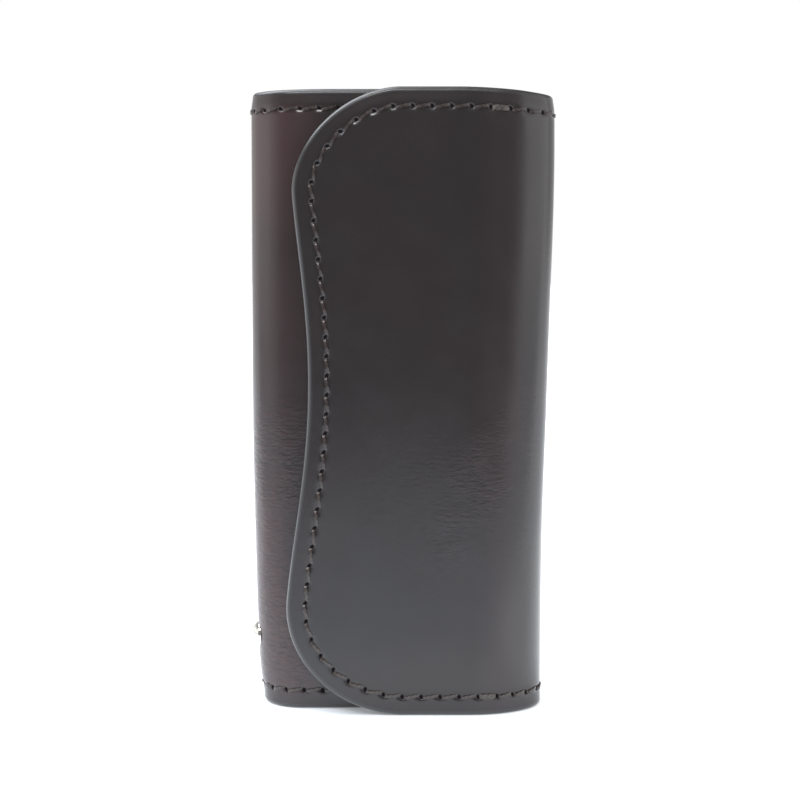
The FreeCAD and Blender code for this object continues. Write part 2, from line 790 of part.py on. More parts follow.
def gate_outline(sketch):
    """A thin leaf with a round tip, growing out of its eye."""
    leaf = half("gate_thickness")
    eye = half("gate_eye_diameter")
    neck = root(eye * eye - leaf * leaf)
    tip = NOSE_CENTRE_Z + size("gate_overlap")
    draw_outline(sketch, [
        Corner(GATE_X + leaf, GATE_Z + neck, radius=eye, side="right"),
        Corner(GATE_X + eye, GATE_Z, radius=eye, side="right"),
        Corner(GATE_X, GATE_Z - eye, radius=eye, side="right"),
        Corner(GATE_X - eye, GATE_Z, radius=eye, side="right"),
        Corner(GATE_X - leaf, GATE_Z + neck),
        Corner(GATE_X - leaf, tip - leaf, radius=leaf, side="right"),
        Corner(GATE_X, tip, radius=leaf, side="right"),
        Corner(GATE_X + leaf, tip - leaf),
    ])
    draw_circle(sketch, GATE_X, GATE_Z, half("gate_pin_diameter") + size("gate_pin_fit"))


def gate_pin_outline(sketch):
    draw_circle(sketch, GATE_X, GATE_Z, half("gate_pin_diameter"))


def make_hook(index):
    """A hook with its stem, its gate leaf and the pin of the leaf."""
    label = f"hook_{index + 1}"
    hook = padded_body(label, "XZ_Plane", hook_outline, size("hook_thickness"))
    slot_width = size("gate_width") + size("gate_play") * 2
    add_feature(hook, "Pocket", "XZ_Plane", gate_slot, slot_width, symmetric=True)
    sketch = body_sketch(hook, "XZ_Plane", label + "_stem_outline")
    stem_outline(sketch)
    stem = hook.newObject("PartDesign::Revolution", label + "_stem")
    stem.Profile = sketch
    stem.ReferenceAxis = (sketch, ["V_Axis"])
    stem.Angle = 360
    gate = padded_body(label + "_gate", "XZ_Plane", gate_outline, size("gate_width"))
    pin = padded_body(label + "_gate_pin", "XZ_Plane", gate_pin_outline, size("hook_thickness"))
    for piece in (hook, gate, pin):
        place(piece, hook_x(index), HOOK_AXIS_Y, PLATE_TOP)
    return [hook, gate, pin]


# Snap: heights are measured from the front panel's outer face towards the flap

SNAP_LEVEL = at_height(size("snap_height"))


def snap_seat(obj, along):
    """Places an object's Z axis along the snap, square to the leaning front and pointing out."""
    y = SNAP_LEVEL.left_y - SNAP_LEVEL.left_radius - along * cosine(LEAN_ANGLE)
    z = size("snap_height") + along * sine(LEAN_ANGLE)
    place(obj, -size("snap_offset"), y, z, (1, 0, 0), 90 - LEAN_ANGLE)


def make_snap_cap():
    """A flat flange between flap and lining, with a barrel rolled over inside the socket."""
    top = size("flap_gap") + size("lining_leather") - size("snap_fit")
    under = top - size("snap_cap_thickness")
    flare = size("flap_gap") - size("socket_floor") - size("snap_fit") * 2
    flange_radius = half("snap_cap_diameter")
    barrel_radius = half("snap_barrel_diameter")
    flare_radius = half("snap_flare_diameter")
    return turned_body("snap_cap", [
        Corner(ZERO, flare - size("snap_flare_height")),
        Corner(flare_radius, flare - size("snap_flare_height")),
        Corner(flare_radius, flare),
        Corner(barrel_radius, flare),
        Corner(barrel_radius, under),
        Corner(flange_radius, under),
        Corner(flange_radius, top),
        Corner(ZERO, top),
    ])


def make_snap_socket():
    """A round box with a hole in its floor, a chamber for the spring and a lipped mouth."""
    top = size("flap_gap") - size("snap_fit")
    face = top - size("socket_height")
    lip = face + size("socket_lip")
    floor = top - size("socket_floor")
    rim = half("socket_diameter")
    hole = half("snap_barrel_diameter") + size("snap_fit")
    chamber = half("socket_chamber_diameter")
    mouth = half("socket_mouth_diameter")
    edge = size("socket_lip")
    return turned_body("snap_socket", [
        Corner(mouth, face),
        Corner(rim - edge, face, radius=edge),
        Corner(rim, face + edge),
        Corner(rim, top),
        Corner(hole, top),
        Corner(hole, floor),
        Corner(chamber, floor),
        Corner(chamber, lip),
        Corner(mouth, lip),
    ])


def make_snap_spring():
    """An open ring of wire that rests on the lip inside the socket."""
    wire = half("spring_wire")
    lip = size("flap_gap") - size("socket_height") + size("socket_lip")
    spring = doc.addObject("Part::Torus", "snap_spring")
    bind(
        spring,
        Radius1=half("socket_chamber_diameter") - wire - size("snap_fit"),
        Radius2=wire,
        Angle3=360 - size("spring_gap_angle"),
    )
    snap_seat(spring, lip + wire)
    return spring


def make_snap_stud():
    """A flange with a hollow, waisted stud."""
    flange = size("stud_flange") + size("snap_fit")
    top = flange + size("stud_height")
    waist = flange + size("stud_neck_height")
    bore = half("stud_bore_diameter")
    neck = half("stud_neck_diameter")
    head = half("stud_head_diameter")
    edge = head - neck
    bore_top = size("snap_fit") + size("stud_bore_depth")
    return turned_body("snap_stud", [
        Corner(bore, size("snap_fit")),
        Corner(half("stud_diameter"), size("snap_fit")),
        Corner(half("stud_diameter"), flange),
        Corner(neck, flange),
        Corner(neck, waist),
        Corner(head, waist + edge),
        Corner(head, top - edge, radius=edge),
        Corner(neck, top),
        Corner(ZERO, top),
        Corner(ZERO, bore_top),
        Corner(bore, bore_top),
    ])


def make_snap_post():
    """A flange behind the outer leather, with a barrel up into the stud."""
    top = -(size("outer_leather") + size("snap_fit"))
    bottom = top - size("snap_post_thickness")
    barrel = half("stud_bore_diameter") - size("snap_fit")
    end = size("stud_bore_depth")
    return turned_body("snap_post", [
        Corner(ZERO, bottom),
        Corner(half("snap_post_diameter"), bottom),
        Corner(half("snap_post_diameter"), top),
        Corner(barrel, top),
        Corner(barrel, end),
        Corner(ZERO, end),
    ])


def make_snap():
    turned = [make_snap_cap(), make_snap_socket(), make_snap_stud(), make_snap_post()]
    for piece in turned:
        snap_seat(piece, ZERO)
    return turned + [make_snap_spring()]


def main():
    pieces = make_back() + make_flap() + make_front_panel() + make_rivets() + make_hook_plate()
    for index in range(HOOK_COUNT):
        pieces += make_hook(index)
    pieces += make_snap()
    doc.recompute()
    failed = [obj.Name for obj in doc.Objects if {"Invalid", "Error"} & set(obj.State)]
    failed += [piece.Name for piece in pieces if piece.Shape.isNull() or not piece.Shape.isValid()]
    if failed:
        raise RuntimeError("failed: " + ", ".join(failed))
    os.makedirs("parts", exist_ok=True)
    for piece in pieces:
        piece.Shape.exportStep(f"parts/{piece.Label}.step")
        print(f"{piece.Label}: {len(piece.Shape.Solids)} solids, {piece.Shape.Volume:.2f} mm3")


main()
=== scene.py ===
"""Key case: leather, stitching, metal finishes and stage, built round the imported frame.

Metres. X points right, Y to the back, Z up, as in the frame.
"""

import math

import bpy
import numpy as np
from bpy.props import FloatProperty, FloatVectorProperty, PointerProperty
from bpy.types import Operator, Panel, PropertyGroup
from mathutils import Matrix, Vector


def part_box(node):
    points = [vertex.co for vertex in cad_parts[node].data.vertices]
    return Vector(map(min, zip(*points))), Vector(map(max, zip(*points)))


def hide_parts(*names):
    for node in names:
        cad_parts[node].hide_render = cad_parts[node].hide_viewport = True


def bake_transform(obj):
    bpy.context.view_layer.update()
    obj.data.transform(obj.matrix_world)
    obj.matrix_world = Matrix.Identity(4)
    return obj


bl_info = {
    "name": "Key case",
    "version": (1, 0, 0),
    "blender": (4, 5, 0),
    "location": "3D View > Sidebar > Key case",
    "description": "Dresses the key case's frame in leather, thread and metal, and sets its stage",
    "category": "Object",
}

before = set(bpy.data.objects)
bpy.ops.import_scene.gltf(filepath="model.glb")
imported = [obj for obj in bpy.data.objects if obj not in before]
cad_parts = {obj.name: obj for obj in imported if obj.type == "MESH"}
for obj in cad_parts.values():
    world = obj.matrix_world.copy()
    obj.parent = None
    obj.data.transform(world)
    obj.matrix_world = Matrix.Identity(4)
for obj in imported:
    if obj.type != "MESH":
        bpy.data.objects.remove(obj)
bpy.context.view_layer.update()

MM = 0.001
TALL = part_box("flap_outer")[1].z
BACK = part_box("back_outer")[1].y
# Distance of the stitch holes' middle from the cut edge, for the shading
HOLE_LINE_MM = 3.34


# Settings

def length(name, description, default):
    return FloatProperty(
        name=name, description=description, default=default, unit="LENGTH", precision=5,
    )


def colour(name, description, default):
    return FloatVectorProperty(
        name=name, description=description, default=default, subtype="COLOR", size=3, min=0, max=1,
    )


class WrapSettings(PropertyGroup):
    """Sizes of the folded hide, its free edges and its seam."""

    height: length("Height", "Height of the folded case", TALL)
    back: length("Back", "Distance of the back's outer face behind the middle", BACK)
    width_base: length("Base width", "Width over the folds at the base", 51.2 * MM)
    width_top: length("Top width", "Width over the folds at the top", 54.0 * MM)
    depth_base: length("Base depth", "Depth from flap to back at the base", 16.0 * MM)
    depth_top: length("Top depth", "Depth from flap to back at the top", 13.0 * MM)
    layer: length("Layer", "Hide, lining and the gap under the flap", 4.0 * MM)
    outer: length("Outer leather", "Thickness of the outer leather", 1.2 * MM)
    lining: length("Lining", "Thickness of the lining", 0.8 * MM)
    base_reach: length("Lower bulge", "Lower bulge of the flap, left of the middle", 20.11 * MM)
    base_width: length("Lower corner width", "Width of the flap's lower corner", 21.04 * MM)
    base_rise: length("Lower corner height", "Height of the flap's lower corner", 19.18 * MM)
    top_reach: length("Upper bulge", "Upper bulge of the flap, left of the middle", 18.75 * MM)
    top_width: length("Upper corner width", "Width of the flap's upper corner", 18.78 * MM)
    top_rise: length("Upper corner height", "Height of the flap's upper corner", 17.6 * MM)
    waist: length("Waist", "Depth of the hollow in the flap edge", 3.29 * MM)
    panel_edge: length("Panel edge", "Free edge of the front panel, right of the middle", 7.0 * MM)
    panel_corner: length("Panel corner", "Corner radius of the front panel", 4.0 * MM)
    edge_round: length("Edge rounding", "Rounding of the outer leather's cut edge", 0.75 * MM)
    lining_round: length("Lining rounding", "Rounding of the lining's cut edge", 0.5 * MM)
    shoulder: length("Shoulder", "How far the bend of a fold reaches onto the front", 3.5 * MM)
    drop: length("Drop", "How far the top edge drops at the right fold", 1.1 * MM)
    lean: length("Margin lean", "How far a free edge leans in past the seam", 0.25 * MM)
    curl: length("Fold curl", "How much further the ends of a fold lean in", 0.1 * MM)
    crease: length("Crease", "Strip in front of the rivet where the left fold bends", 1.0 * MM)
    seam_inset: length("Seam inset", "Distance of the seam from the free edge", 3.4 * MM)
    seam_pitch: length("Stitch pitch", "Distance from stitch to stitch", 3.36 * MM)
    seam_pull: length("Seam pull", "How deep the thread pulls the leather in", 0.26 * MM)
    thread: length("Thread", "Width of the thread", 0.66 * MM)
    lock_top: length("Upper lock", "Doubled stitch at the top, right of the middle", 17.7 * MM)
    lock_base: length("Lower lock", "Doubled stitch at the base, right of the middle", 14.8 * MM)


class FinishSettings(PropertyGroup):
    """Colours of leather, thread and metal."""

    hide: colour("Hide", "Outer leather", (0.0148, 0.0118, 0.0123))
    hide_warm: colour("Hide, warm", "Redder parts of the outer leather", (0.046, 0.024, 0.025))
    edge: colour("Edge", "Burnished cut edges", (0.010, 0.009, 0.010))
    # Painted shade inside the stitch holes
    hole_shade: colour("Stitch hole", "Stitch holes", (0.010, 0.008, 0.009))
    lining: colour("Lining", "Lining leather", (0.085, 0.050, 0.036))
    thread: colour("Thread", "Waxed thread", (0.044, 0.031, 0.030))
    # Also painted light: the thread's paler tone towards the base, lit by the bright floor
    lock: colour("Lock stitch", "Doubled thread", (0.075, 0.062, 0.055))
    nickel: colour("Nickel", "Plated metal", (0.72, 0.70, 0.66))
    satin: colour("Satin nickel", "Stamped hooks and their plate", (0.50, 0.485, 0.46))
    steel: colour("Steel", "Spring steel", (0.55, 0.55, 0.56))


class StageSettings(PropertyGroup):
    """Camera and floor."""

    lens: FloatProperty(
        name="Lens", description="Focal length on a 36 mm sensor", default=64.29, unit="CAMERA",
    )
    distance: length("Camera distance", "Camera in front of the middle", 254.47 * MM)
    eye: length("Camera height", "Camera above the floor", 82.36 * MM)
    pitch: FloatProperty(
        name="Pitch", description="How far the camera looks down",
        default=math.radians(6.0654), subtype="ANGLE",
    )
    floor: colour("Floor", "Floor", (0.77, 0.81, 0.86))


# Shader maths

class Field:
    """A socket of a node graph. Arithmetic on it adds Math nodes."""

    def __init__(self, graph, socket):
        self.graph = graph
        self.socket = socket

    def math(self, operation, *others):
        return self.graph.add("ShaderNodeMath", {"operation": operation}, [self, *others])

    def __add__(self, other):
        return self.math("ADD", other)

    def __mul__(self, other):
        return self.math("MULTIPLY", other)

    def __sub__(self, other):
        return self.math("SUBTRACT", other)

    def __rsub__(self, other):
        return self.graph.add("ShaderNodeMath", {"operation": "SUBTRACT"}, [other, self])

    def __pow__(self, other):
        return self.math("POWER", other)

    __radd__ = __add__
    __rmul__ = __mul__

    def ramp(self, low, high, start=0.0, end=1.0):
        """Smooth step from start at low to end at high."""
        settings = {"interpolation_type": "SMOOTHSTEP"}
        return self.graph.add("ShaderNodeMapRange", settings, [self, low, high, start, end])


class Graph:
    """The nodes of one material or of the world."""

    def __init__(self, owner):
        owner.use_nodes = True
        self.owner = owner
        self.tree = owner.node_tree
        self.tree.nodes.clear()

    def add(self, kind, settings=None, sockets=(), output=0):
        """Adds a node: its settings first, then values or links of its sockets by place or name."""
        node = self.tree.nodes.new(kind)
        for name, value in (settings or {}).items():
            setattr(node, name, value)
        for key, value in sockets.items() if isinstance(sockets, dict) else enumerate(sockets):
            if isinstance(value, Field):
                self.tree.links.new(value.socket, node.inputs[key])
            elif value is not None:
                node.inputs[key].default_value = value
        return Field(self, node.outputs[output]) if node.outputs else node

    def place(self):
        return self.add("ShaderNodeTexCoord", output="Object")

    def stretched(self, scale):
        """Object coordinates stretched along the axes."""
        return self.add("ShaderNodeMapping", None, {"Vector": self.place(), "Scale": scale})

    def light_path(self, kind):
        """One for rays of a kind, zero for others."""
        return self.add("ShaderNodeLightPath", output=kind)

    def attribute(self, name):
        """A number stored on the piece's own vertices."""
        return self.add("ShaderNodeAttribute", {"attribute_name": name}, output="Fac")

    def split(self, vector):
        """The three numbers of a vector."""
        first = self.add("ShaderNodeSeparateXYZ", None, [vector], "X")
        return [Field(self, output) for output in first.socket.node.outputs]

    def noise(self, vector, scale, detail=2.0, rough=0.5):
        sockets = {"Vector": vector, "Scale": scale, "Detail": detail, "Roughness": rough}
        return self.add("ShaderNodeTexNoise", None, sockets)

    def cells(self, vector, scale):
        """Distance to the nearest of scattered points."""
        sockets = {"Vector": vector, "Scale": scale}
        return self.add("ShaderNodeTexVoronoi", {"feature": "F1"}, sockets, "Distance")

    def mix(self, factor, first, second):
        """Mixes two colours."""
        pair = [c if isinstance(c, Field) else (*c, 1.0) for c in (first, second)]
        sockets = {0: factor, 6: pair[0], 7: pair[1]}
        return self.add("ShaderNodeMix", {"data_type": "RGBA"}, sockets, 2)

    def bump(self, height):
        """A normal from a height in millimetres."""
        return self.add("ShaderNodeBump", None, {"Height": height, "Distance": MM, "Strength": 1.0})

    def surface(self, **sockets):
        """A Principled shader."""
        named = {name.replace("_", " "): value for name, value in sockets.items()}
        return self.add("ShaderNodeBsdfPrincipled", None, named)

    def finish(self, shader):
        kind = "World" if isinstance(self.owner, bpy.types.World) else "Material"
        self.add(f"ShaderNodeOutput{kind}", None, {"Surface": shader})


def new_graph(name):
    return Graph(bpy.data.materials.new(name))


def darker(tone, share):
    return [part * share for part in tone]


def hide_material(finish):
    """Glazed dark leather, redder on the panel and creased by use on the lower front. Painted shade
    darkens the panel next to the flap's edge and at mid-height, and fills the stitch holes.

    Stitch holes and burnished edges follow the distance from the cut edge, in millimetres.
    """
    graph = new_graph("glazed_hide")
    place = graph.place()
    x, y, z = graph.split(place)
    edge = graph.attribute("edge_mm")
    on_panel = graph.attribute("panel")
    stitch = graph.attribute("stitch_sine").math("ARCTAN2", graph.attribute("stitch_cosine"))
    on_front = y.ramp(0.001, 0.006, 1.0, 0.0)

    # Redder: the panel's left part and a strip before the right fold. The panel's red fades out
    # before the flap's edge and thins at mid-height as painted shade, and is less in the margin
    # outside the seam
    # Painted shade: the red fades out before the flap's edge, so the panel is darker there
    leftward = x - z.ramp(0.035, 0.055, 0.0, 0.0045) - z.ramp(0.008, 0.028, 0.0045, 0.0)
    red = leftward.ramp(-0.025, -0.015, 1.0, 0.0) * on_front
    red = red * on_panel * edge.ramp(2.2, 3.4, 0.35, 1.0)
    # Painted shade: less red, so darker, from about 40 to 90 mm up
    mid_height_shade = z.ramp(0.03, 0.05) * z.ramp(0.08, 0.10, 1.0, 0.0)
    strip = x.ramp(0.012, 0.0175) * x.ramp(0.0185, 0.023, 1.0, 0.0)
    clouds = graph.noise(place, 45.0, 3.0).ramp(0.35, 0.75)

    # Creases: fine level lines on the lower panel, and on the flap in a slanting belt and round it
    creases = graph.noise(graph.stretched((700.0, 700.0, 1900.0)), 1.0, 3.0, 0.6)
    patches = graph.noise(place, 120.0, 2.0).ramp(0.33, 0.56, 0.35, 1.0)
    from_belt = (z - x * 1.2 - 0.0245).math("ABSOLUTE")
    belt = from_belt.ramp(0.001, 0.013, 1.0, 0.0)
    belt = belt * x.ramp(0.003, 0.012) * x.ramp(0.020, 0.026, 1.0, 0.0)
    round_belt = z.ramp(0.042, 0.06, 1.0, 0.0) * z.ramp(0.012, 0.03) * x.ramp(-0.012, 0.006)
    flap_creased = (belt + round_belt * 0.25).math("MINIMUM", 1.0) * on_front * patches
    panel_creased = z.ramp(0.045, 0.06, 1.0, 0.0) * red * patches
    warm = red * (0.85 - mid_height_shade * 0.45) + strip * 0.15 + clouds * 0.10 + flap_creased * 0.10
    warm = warm + (creases - 0.5) * (panel_creased + flap_creased * 0.4) * 3.0

    # Stitch holes: slanted pits of painted shade in pressed dips, which are shallow in the panel's
    # upper row
    across = edge - HOLE_LINE_MM
    off_line = across.math("ABSOLUTE")
    hole = (stitch - across).math("COSINE").ramp(0.62, 0.95) * off_line.ramp(0.22, 0.52, 1.0, 0.0)
    lip = (stitch - across * 0.6).math("COSINE")
    dip = ((1 - lip) * 1.6 + across * across * 3.0).ramp(0.0, 1.0, 1.0, 0.0)
    upper_row = on_panel * z.ramp(0.101, 0.104) * x.ramp(-0.0205, -0.0175)
    rubbed = off_line.ramp(0.3, 1.0, 1.0, 0.0) * (0.08 + upper_row * 0.06)

    pores = graph.cells(place, 2600.0).ramp(0.0, 0.45)
    grain = graph.noise(place, 900.0, 3.0)
    lines = creases * (panel_creased + flap_creased * 0.48)
    height = pores * 0.004 + grain * 0.012 + lines * 0.13 - dip * (0.10 - upper_row * 0.09)
    rough = graph.noise(place, 140.0, 3.0).ramp(0.3, 0.7, 0.20, 0.26)
    burnish = edge.ramp(0.4, 1.1, 1.0, 0.0)
    body = graph.mix(warm, finish.hide, finish.hide_warm)
    leather = graph.surface(
        Base_Color=graph.mix(burnish, body, finish.edge),
        Roughness=rough - rubbed + burnish * 0.15,
        Specular_IOR_Level=0.55,
        Coat_Weight=burnish * 0.5 + 0.1,
        Coat_Roughness=0.28,
        Normal=graph.bump(height),
    )
    # Painted shade: a dark matt colour fills the stitch holes
    hole_shade = graph.add("ShaderNodeBsdfDiffuse", None, {"Color": (*finish.hole_shade, 1.0)})
    graph.finish(graph.add("ShaderNodeMixShader", None, [hole, leather, hole_shade]))
    return graph.owner


def lining_material(finish):
    """Matt lining leather with a soft nap and darker edges."""
    graph = new_graph("lining_hide")
    place = graph.place()
    edge = graph.attribute("edge_mm")
    nap = graph.noise(place, 1500.0, 4.0, 0.6)
    clouds = graph.noise(place, 55.0, 3.0).ramp(0.35, 0.7)
    dark = darker(finish.lining, 0.72)
    body = graph.mix(clouds, dark, finish.lining)
    tint = graph.mix(nap.ramp(0.3, 0.7) * 0.35, body, dark)
    burnish = edge.ramp(0.2, 0.9, 1.0, 0.0)
    graph.finish(graph.surface(
        Base_Color=graph.mix(burnish, tint, finish.edge),
        Roughness=0.78 - burnish * 0.3,
        Specular_IOR_Level=0.35,
        Normal=graph.bump(nap * 0.02 + graph.cells(place, 1800.0) * 0.012),
    ))
    return graph.owner


def thread_material(finish):
    """Waxed thread twisted from two strands, paler where doubled and, as painted floor light,
    towards the base.
    """
    graph = new_graph("waxed_thread")
    place = graph.place()
    twist = (graph.attribute("twist") * (2 * math.pi)).math("SINE").ramp(-0.6, 0.8)
    fibre = graph.noise(place, 6000.0, 2.0)
    tones = (finish.thread, finish.lock)
    single, doubled_and_floor_lit = [graph.mix(twist, darker(tone, 0.6), tone) for tone in tones]
    # Painted light: paler towards the base, where the bright floor lights the thread
    low = graph.split(place)[2].ramp(0.02, 0.06, 0.7, 0.0)
    lock_and_floor_light = graph.attribute("lock").math("MAXIMUM", low)
    graph.finish(graph.surface(
        Base_Color=graph.mix(lock_and_floor_light, single, doubled_and_floor_lit),
        Roughness=0.12 + fibre * 0.1,
        Specular_IOR_Level=0.5,
        Normal=graph.bump(twist * 0.012 + fibre * 0.003),
    ))
    return graph.owner


def nickel_material(finish):
    """Bright plate with faint handling marks."""
    graph = new_graph("nickel_plate")
    place = graph.place()
    haze = graph.noise(place, 420.0, 4.0).ramp(0.35, 0.75)
    marks = graph.noise(graph.stretched((3000.0, 500.0, 200.0)), 1.0, 2.0)
    dull = darker(finish.nickel, 0.86)
    graph.finish(graph.surface(
        Base_Color=graph.mix(haze, finish.nickel, dull),
        Metallic=1.0,
        Roughness=haze * 0.10 + 0.12,
        Normal=graph.bump(marks * 0.002),
    ))
    return graph.owner


def satin_material(finish):
    """Satin plate on stamped sheet: short brush lines and cloudy tarnish."""
    graph = new_graph("satin_nickel")
    place = graph.place()
    lines = graph.noise(graph.stretched((7000.0, 7000.0, 500.0)), 1.0, 3.0, 0.6)
    tarnish = graph.noise(place, 260.0, 4.0).ramp(0.35, 0.75)
    dull = darker(finish.satin, 0.7)
    graph.finish(graph.surface(
        Base_Color=graph.mix(tarnish * 0.6 + lines.ramp(0.3, 0.7) * 0.3, finish.satin, dull),
        Metallic=1.0,
        Roughness=tarnish * 0.08 + lines * 0.12 + 0.24,
        Normal=graph.bump(lines * 0.006),
    ))
    return graph.owner


def steel_material(finish):
    """Spring steel, brushed along its length."""
    graph = new_graph("spring_steel")
    brushed = graph.noise(graph.stretched((9000.0, 9000.0, 300.0)), 1.0, 2.0)
    dull = darker(finish.steel, 0.8)
    graph.finish(graph.surface(
        Base_Color=graph.mix(brushed.ramp(0.3, 0.7), dull, finish.steel),
        Metallic=1.0,
        Roughness=brushed * 0.12 + 0.24,
        Normal=graph.bump(brushed * 0.004),
    ))
    return graph.owner


def material(name, make):
    """A material by name, made on first use from the finish settings."""
    return bpy.data.materials.get(name) or make(bpy.context.scene.key_case_finish)


# The folded hide

def smooth(value):
    """Smooth step from 0 to 1, flat outside."""
    value = np.clip(value, 0.0, 1.0)
    return value * value * (3.0 - 2.0 * value)


def fold(wrap, side, z):
    """Half of the back's straight run, and the radius of the fold on one side, at heights z.

    Width and depth change evenly from base to top. The left fold is less deep by one layer.
    """
    share = z / wrap.height
    half_width = (wrap.width_base + (wrap.width_top - wrap.width_base) * share) / 2
    depth = wrap.depth_base + (wrap.depth_top - wrap.depth_base) * share
    radius = np.where(side > 0, depth, depth - wrap.layer) / 2
    return half_width - radius, radius


def shoulder(reach, past, radius):
    """How far the front of a fold is pressed in, past its outermost line.

    The quarter circle gives way to a quarter ellipse, longer by the shoulder. On the circle, the
    distance from the fold's middle to the ellipse comes from a quadratic; on the flat front, from
    the ellipse's height.
    """
    angle = np.clip(past / radius, 0.0, np.pi / 2)
    flat = np.maximum(past - radius * np.pi / 2, 0.0)
    long = radius + reach
    square = (np.cos(angle) / long) ** 2 + (np.sin(angle) / radius) ** 2
    half = reach * np.cos(angle) / long ** 2
    rest = (reach / long) ** 2 - 1
    bent = (np.sqrt(half ** 2 - square * rest) - half) / square
    rise = radius * np.sqrt(1 - (np.maximum(reach - flat, 0.0) / long) ** 2)
    return np.where(past > 0, radius - np.where(flat > 0, rise, bent), 0.0)


def bell(z, middle, width):
    """A bell curve over the heights z, from its middle and width in millimetres."""
    return np.exp(-(((z - middle * MM) / (width * MM)) ** 2))


def bow(side, z):
    """How far a fold stands out from its straight line, as sums of bells over the height."""
    left = 0.40 * bell(z, 42, 26) - 0.62 * bell(z, 112, 26) - 0.8 * bell(z, 0, 5)
    right = 0.45 * bell(z, 90, 20) - 0.35 * bell(z, 26, 22)
    return np.where(side < 0, left, right) * MM


def near_fold(past, width):
    """A squared cosine: one on a fold's outermost line, zero at a width on both sides of it."""
    return np.cos(np.clip(past / width, -1.0, 1.0) * np.pi / 2) ** 2


def folded(wrap, s, z, inset):
    """Carries the flat hide round the case.

    s runs along the hide from the middle of the back, to the right if positive. It is spent on the
    straight run of the back, then on a half turn, then on the straight front. The inset is taken
    off along the outer surface's normal. The shoulder grows evenly towards the base on the right
    and towards the top on the left. Squared cosines spread the bow of a fold and the drop of the
    top edge, which is smaller on the left.
    """
    side = np.where(s < 0, -1.0, 1.0)
    run, radius = fold(wrap, side, z)
    along = np.abs(s)
    turn = np.clip((along - run) / radius, 0.0, np.pi)
    front = np.maximum(along - run - np.pi * radius, 0.0)
    quarter = np.pi / 2 * radius
    past = along - run - quarter
    share = z / wrap.height
    reach = wrap.shoulder * np.where(s < 0, 0.5 + 0.5 * share, 1.5 - 0.5 * share)
    bowed = bow(side, z) * near_fold(past, quarter + reach)
    inset = inset + shoulder(reach, past, radius) - bowed
    x = side * (np.minimum(along, run) + (radius - inset) * np.sin(turn) - front)
    y = wrap.back - radius + (radius - inset) * np.cos(turn)
    dropped = near_fold(past, quarter + 3 * wrap.shoulder) * smooth(share * 4 - 3)
    drop = np.where(s < 0, 0.35, 1.0) * wrap.drop * dropped
    return np.stack([x, y, z - drop], axis=-1)


def laid_flat(wrap, side, x, z):
    """Where a point of the straight front lies along the flat hide: the reverse of folded."""
    run, radius = fold(wrap, np.full_like(z, side), z)
    return side * (2 * run + np.pi * radius) - x


def flap_edge(wrap, count):
    """The flap's edge from base to top: a quarter ellipse, a hollow, and a fuller quarter curve.

    The hollow is a raised cosine, broadened by a power, added to a smooth step between the bulges.
    """
    quarter = np.linspace(0.0, np.pi / 2, count)
    share = np.linspace(0.0, 1.0, count)
    base_x = wrap.base_width * (1 - np.sin(quarter)) - wrap.base_reach
    base_z = wrap.base_rise * (1 - np.cos(quarter))
    hollow = ((1 - np.cos(2 * np.pi * share)) / 2) ** 0.65
    between = (wrap.base_reach - wrap.top_reach) * smooth(share) - wrap.base_reach
    waist_x = between + wrap.waist * hollow
    waist_z = wrap.base_rise + (wrap.height - wrap.base_rise - wrap.top_rise) * share
    fullness = 2 / 1.82
    top_x = wrap.top_width * (1 - np.abs(np.cos(quarter)) ** fullness) - wrap.top_reach
    top_z = wrap.height - wrap.top_rise * (1 - np.sin(quarter) ** fullness)
    return [(base_x, base_z), (waist_x, waist_z), (top_x, top_z)]


def panel_end(wrap, count):
    """The front panel's free edge from top to base, with round corners."""
    quarter = np.linspace(0.0, np.pi / 2, count)
    radius = wrap.panel_corner
    inner = wrap.panel_edge - radius
    top = (inner + radius * np.sin(quarter), wrap.height - radius + radius * np.cos(quarter))
    straight = (np.full(count, wrap.panel_edge), np.linspace(wrap.height - radius, radius, count))
    base = (inner + radius * np.cos(quarter), radius - radius * np.sin(quarter))
    return [top, straight, base]


